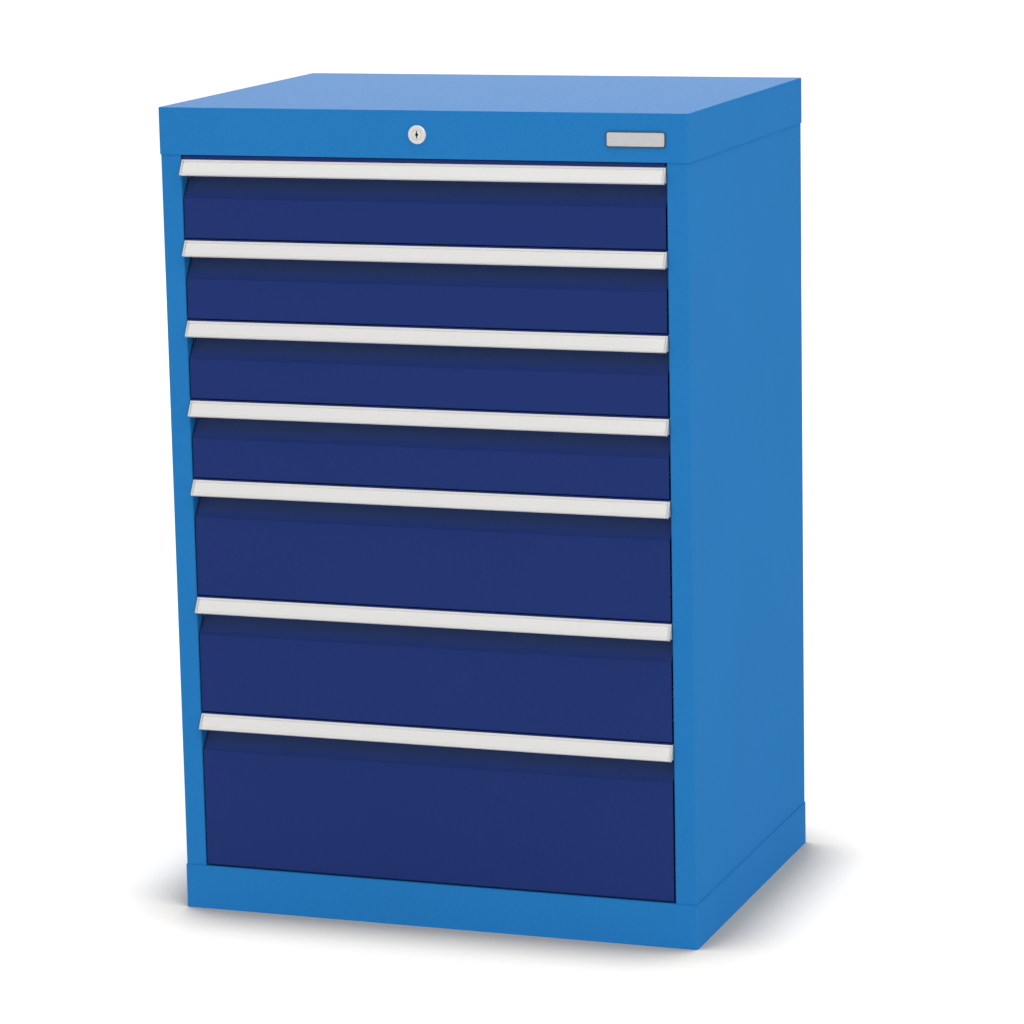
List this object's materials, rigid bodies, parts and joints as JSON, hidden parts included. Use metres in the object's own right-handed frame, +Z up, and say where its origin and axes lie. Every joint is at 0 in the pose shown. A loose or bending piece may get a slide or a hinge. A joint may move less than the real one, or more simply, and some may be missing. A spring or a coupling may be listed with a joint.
{
  "type": "drawer cabinet",
  "caption": "Upright steel workshop cabinet with full-width pull-out drawers, slanted strip handles over finger recesses, a flat lid, a plain base and one central lock.",
  "frame": {"origin": "under the middle of the outer box, handles included, on the floor", "axes": "+Z up, the drawer fronts face -Y, +X to the right as seen from the front"},
  "size_m": [0.68, 0.508, 1.019],
  "materials": {
    "case_paint": "light blue powder coat, fine grain, satin",
    "drawer_paint": "dark blue powder coat, fine grain, satin",
    "handle_aluminium": "matt anodised extrusion",
    "label_strip": "plain light grey strip",
    "zinc_steel": "bright zinc-plated steel",
    "lock_chrome": "polished nickel",
    "badge_metal": "bare satin plate"
  },
  "bodies": {
    "cabinet": {"left_side_wall": "case_paint", "right_side_wall": "case_paint", "back_panel": "case_paint", "top_cover": "case_paint", "base_plinth": "case_paint", "bottom_panel": "case_paint", "slotted_uprights": "zinc_steel", "left_cabinet_rails": "zinc_steel", "right_cabinet_rails": "zinc_steel", "lock_housing": "lock_chrome", "lock_nut": "zinc_steel", "lock_bar_guides": "zinc_steel", "badge_plate": "badge_metal"},
    "drawer_1": {"drawer_1_box": "drawer_paint", "drawer_1_front": "drawer_paint", "drawer_1_handle": "handle_aluminium", "drawer_1_label": "label_strip", "drawer_1_rails": "zinc_steel"},
    "drawer_2": {"drawer_2_box": "drawer_paint", "drawer_2_front": "drawer_paint", "drawer_2_handle": "handle_aluminium", "drawer_2_label": "label_strip", "drawer_2_rails": "zinc_steel"},
    "drawer_3": {"drawer_3_box": "drawer_paint", "drawer_3_front": "drawer_paint", "drawer_3_handle": "handle_aluminium", "drawer_3_label": "label_strip", "drawer_3_rails": "zinc_steel"},
    "drawer_4": {"drawer_4_box": "drawer_paint", "drawer_4_front": "drawer_paint", "drawer_4_handle": "handle_aluminium", "drawer_4_label": "label_strip", "drawer_4_rails": "zinc_steel"},
    "drawer_5": {"drawer_5_box": "drawer_paint", "drawer_5_front": "drawer_paint", "drawer_5_handle": "handle_aluminium", "drawer_5_label": "label_strip", "drawer_5_rails": "zinc_steel"},
    "drawer_6": {"drawer_6_box": "drawer_paint", "drawer_6_front": "drawer_paint", "drawer_6_handle": "handle_aluminium", "drawer_6_label": "label_strip", "drawer_6_rails": "zinc_steel"},
    "drawer_7": {"drawer_7_box": "drawer_paint", "drawer_7_front": "drawer_paint", "drawer_7_handle": "handle_aluminium", "drawer_7_label": "label_strip", "drawer_7_rails": "zinc_steel"},
    "middle_rails_1": {"middle_rails_1": "zinc_steel"},
    "middle_rails_2": {"middle_rails_2": "zinc_steel"},
    "middle_rails_3": {"middle_rails_3": "zinc_steel"},
    "middle_rails_4": {"middle_rails_4": "zinc_steel"},
    "middle_rails_5": {"middle_rails_5": "zinc_steel"},
    "middle_rails_6": {"middle_rails_6": "zinc_steel"},
    "middle_rails_7": {"middle_rails_7": "zinc_steel"},
    "lock_bar": {"lock_bar": "zinc_steel", "lock_arm": "zinc_steel", "lock_hooks": "zinc_steel"},
    "lock_core": {"lock_core": "lock_chrome", "lock_cam": "zinc_steel"}
  },
  "joints": [
    {"name": "drawer_1_slide", "type": "slide", "parent": "cabinet", "child": "drawer_1", "axis": [0, -1, 0], "range_m": [0, 0.4]},
    {"name": "drawer_2_slide", "type": "slide", "parent": "cabinet", "child": "drawer_2", "axis": [0, -1, 0], "range_m": [0, 0.4]},
    {"name": "drawer_3_slide", "type": "slide", "parent": "cabinet", "child": "drawer_3", "axis": [0, -1, 0], "range_m": [0, 0.4]},
    {"name": "drawer_4_slide", "type": "slide", "parent": "cabinet", "child": "drawer_4", "axis": [0, -1, 0], "range_m": [0, 0.4]},
    {"name": "drawer_5_slide", "type": "slide", "parent": "cabinet", "child": "drawer_5", "axis": [0, -1, 0], "range_m": [0, 0.4]},
    {"name": "drawer_6_slide", "type": "slide", "parent": "cabinet", "child": "drawer_6", "axis": [0, -1, 0], "range_m": [0, 0.4]},
    {"name": "drawer_7_slide", "type": "slide", "parent": "cabinet", "child": "drawer_7", "axis": [0, -1, 0], "range_m": [0, 0.4]},
    {"name": "middle_rails_1_slide", "type": "slide", "parent": "cabinet", "child": "middle_rails_1", "axis": [0, -1, 0], "range_m": [0, 0.2]},
    {"name": "middle_rails_2_slide", "type": "slide", "parent": "cabinet", "child": "middle_rails_2", "axis": [0, -1, 0], "range_m": [0, 0.2]},
    {"name": "middle_rails_3_slide", "type": "slide", "parent": "cabinet", "child": "middle_rails_3", "axis": [0, -1, 0], "range_m": [0, 0.2]},
    {"name": "middle_rails_4_slide", "type": "slide", "parent": "cabinet", "child": "middle_rails_4", "axis": [0, -1, 0], "range_m": [0, 0.2]},
    {"name": "middle_rails_5_slide", "type": "slide", "parent": "cabinet", "child": "middle_rails_5", "axis": [0, -1, 0], "range_m": [0, 0.2]},
    {"name": "middle_rails_6_slide", "type": "slide", "parent": "cabinet", "child": "middle_rails_6", "axis": [0, -1, 0], "range_m": [0, 0.2]},
    {"name": "middle_rails_7_slide", "type": "slide", "parent": "cabinet", "child": "middle_rails_7", "axis": [0, -1, 0], "range_m": [0, 0.2]},
    {"name": "lock_bar_lift", "type": "slide", "parent": "cabinet", "child": "lock_bar", "axis": [0, 0, 1], "range_m": [0, 0.01273]},
    {"name": "lock_turn", "type": "hinge", "parent": "cabinet", "child": "lock_core", "pos_m": [0, -0.2485, 0.99], "axis": [0, 1, 0], "range_deg": [0, 90]}
  ],
  "couplings": [
    {"joint": "middle_rails_1_slide", "follows": "drawer_1_slide", "ratio": 0.5},
    {"joint": "middle_rails_2_slide", "follows": "drawer_2_slide", "ratio": 0.5},
    {"joint": "middle_rails_3_slide", "follows": "drawer_3_slide", "ratio": 0.5},
    {"joint": "middle_rails_4_slide", "follows": "drawer_4_slide", "ratio": 0.5},
    {"joint": "middle_rails_5_slide", "follows": "drawer_5_slide", "ratio": 0.5},
    {"joint": "middle_rails_6_slide", "follows": "drawer_6_slide", "ratio": 0.5},
    {"joint": "middle_rails_7_slide", "follows": "drawer_7_slide", "ratio": 0.5},
    {"joint": "lock_turn", "follows": "lock_bar_lift", "rad_per_m": 123.41}
  ]
}
